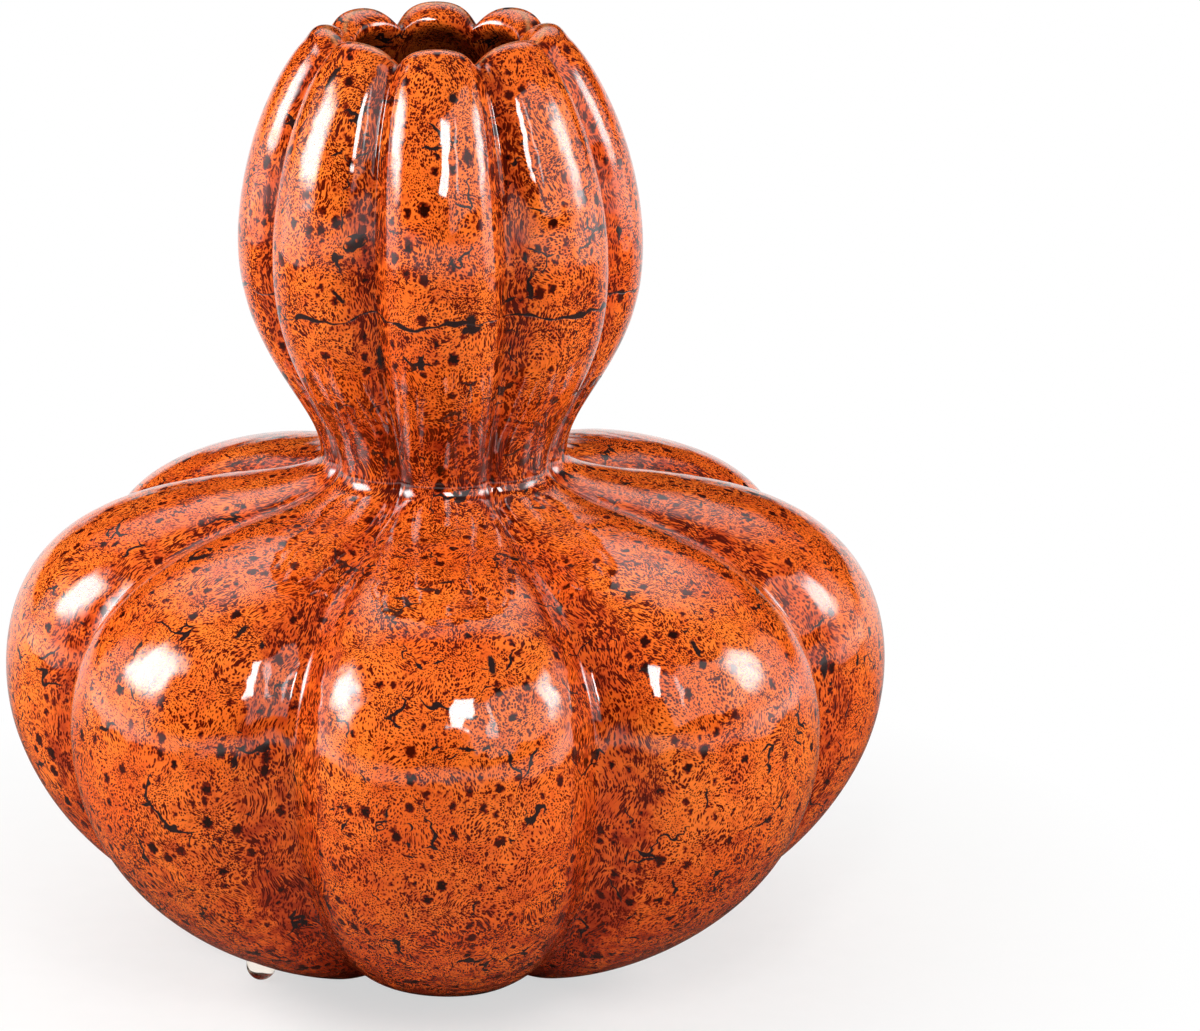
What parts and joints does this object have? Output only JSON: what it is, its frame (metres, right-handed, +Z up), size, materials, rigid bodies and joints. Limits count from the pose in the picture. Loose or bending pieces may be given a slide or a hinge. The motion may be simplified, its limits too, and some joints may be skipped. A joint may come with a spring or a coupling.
{
  "type": "pumpkin vase",
  "caption": "Glazed stoneware vase in the shape of a lobed double gourd, with a scalloped open mouth, standing on small clear domes.",
  "frame": {"origin": "centre of the footprint, at the level that the vase stands on", "axes": "+Z up along the vase's axis, -Y through the crest of the front lobe, +X to the right seen from the front"},
  "size_m": [0.36, 0.36, 0.3815],
  "materials": {
    "glaze": "glossy reactive glaze, orange with dark speckles, cracks and runs",
    "slip": "matt fired slip",
    "bumper": "clear glossy soft polyurethane"
  },
  "bodies": {
    "root": {"upper_gourd": "glaze", "waist_slip_joint": "slip", "lower_gourd": "glaze", "bumper_front_left": "bumper", "bumper_right": "bumper", "bumper_back": "bumper"}
  },
  "joints": []
}
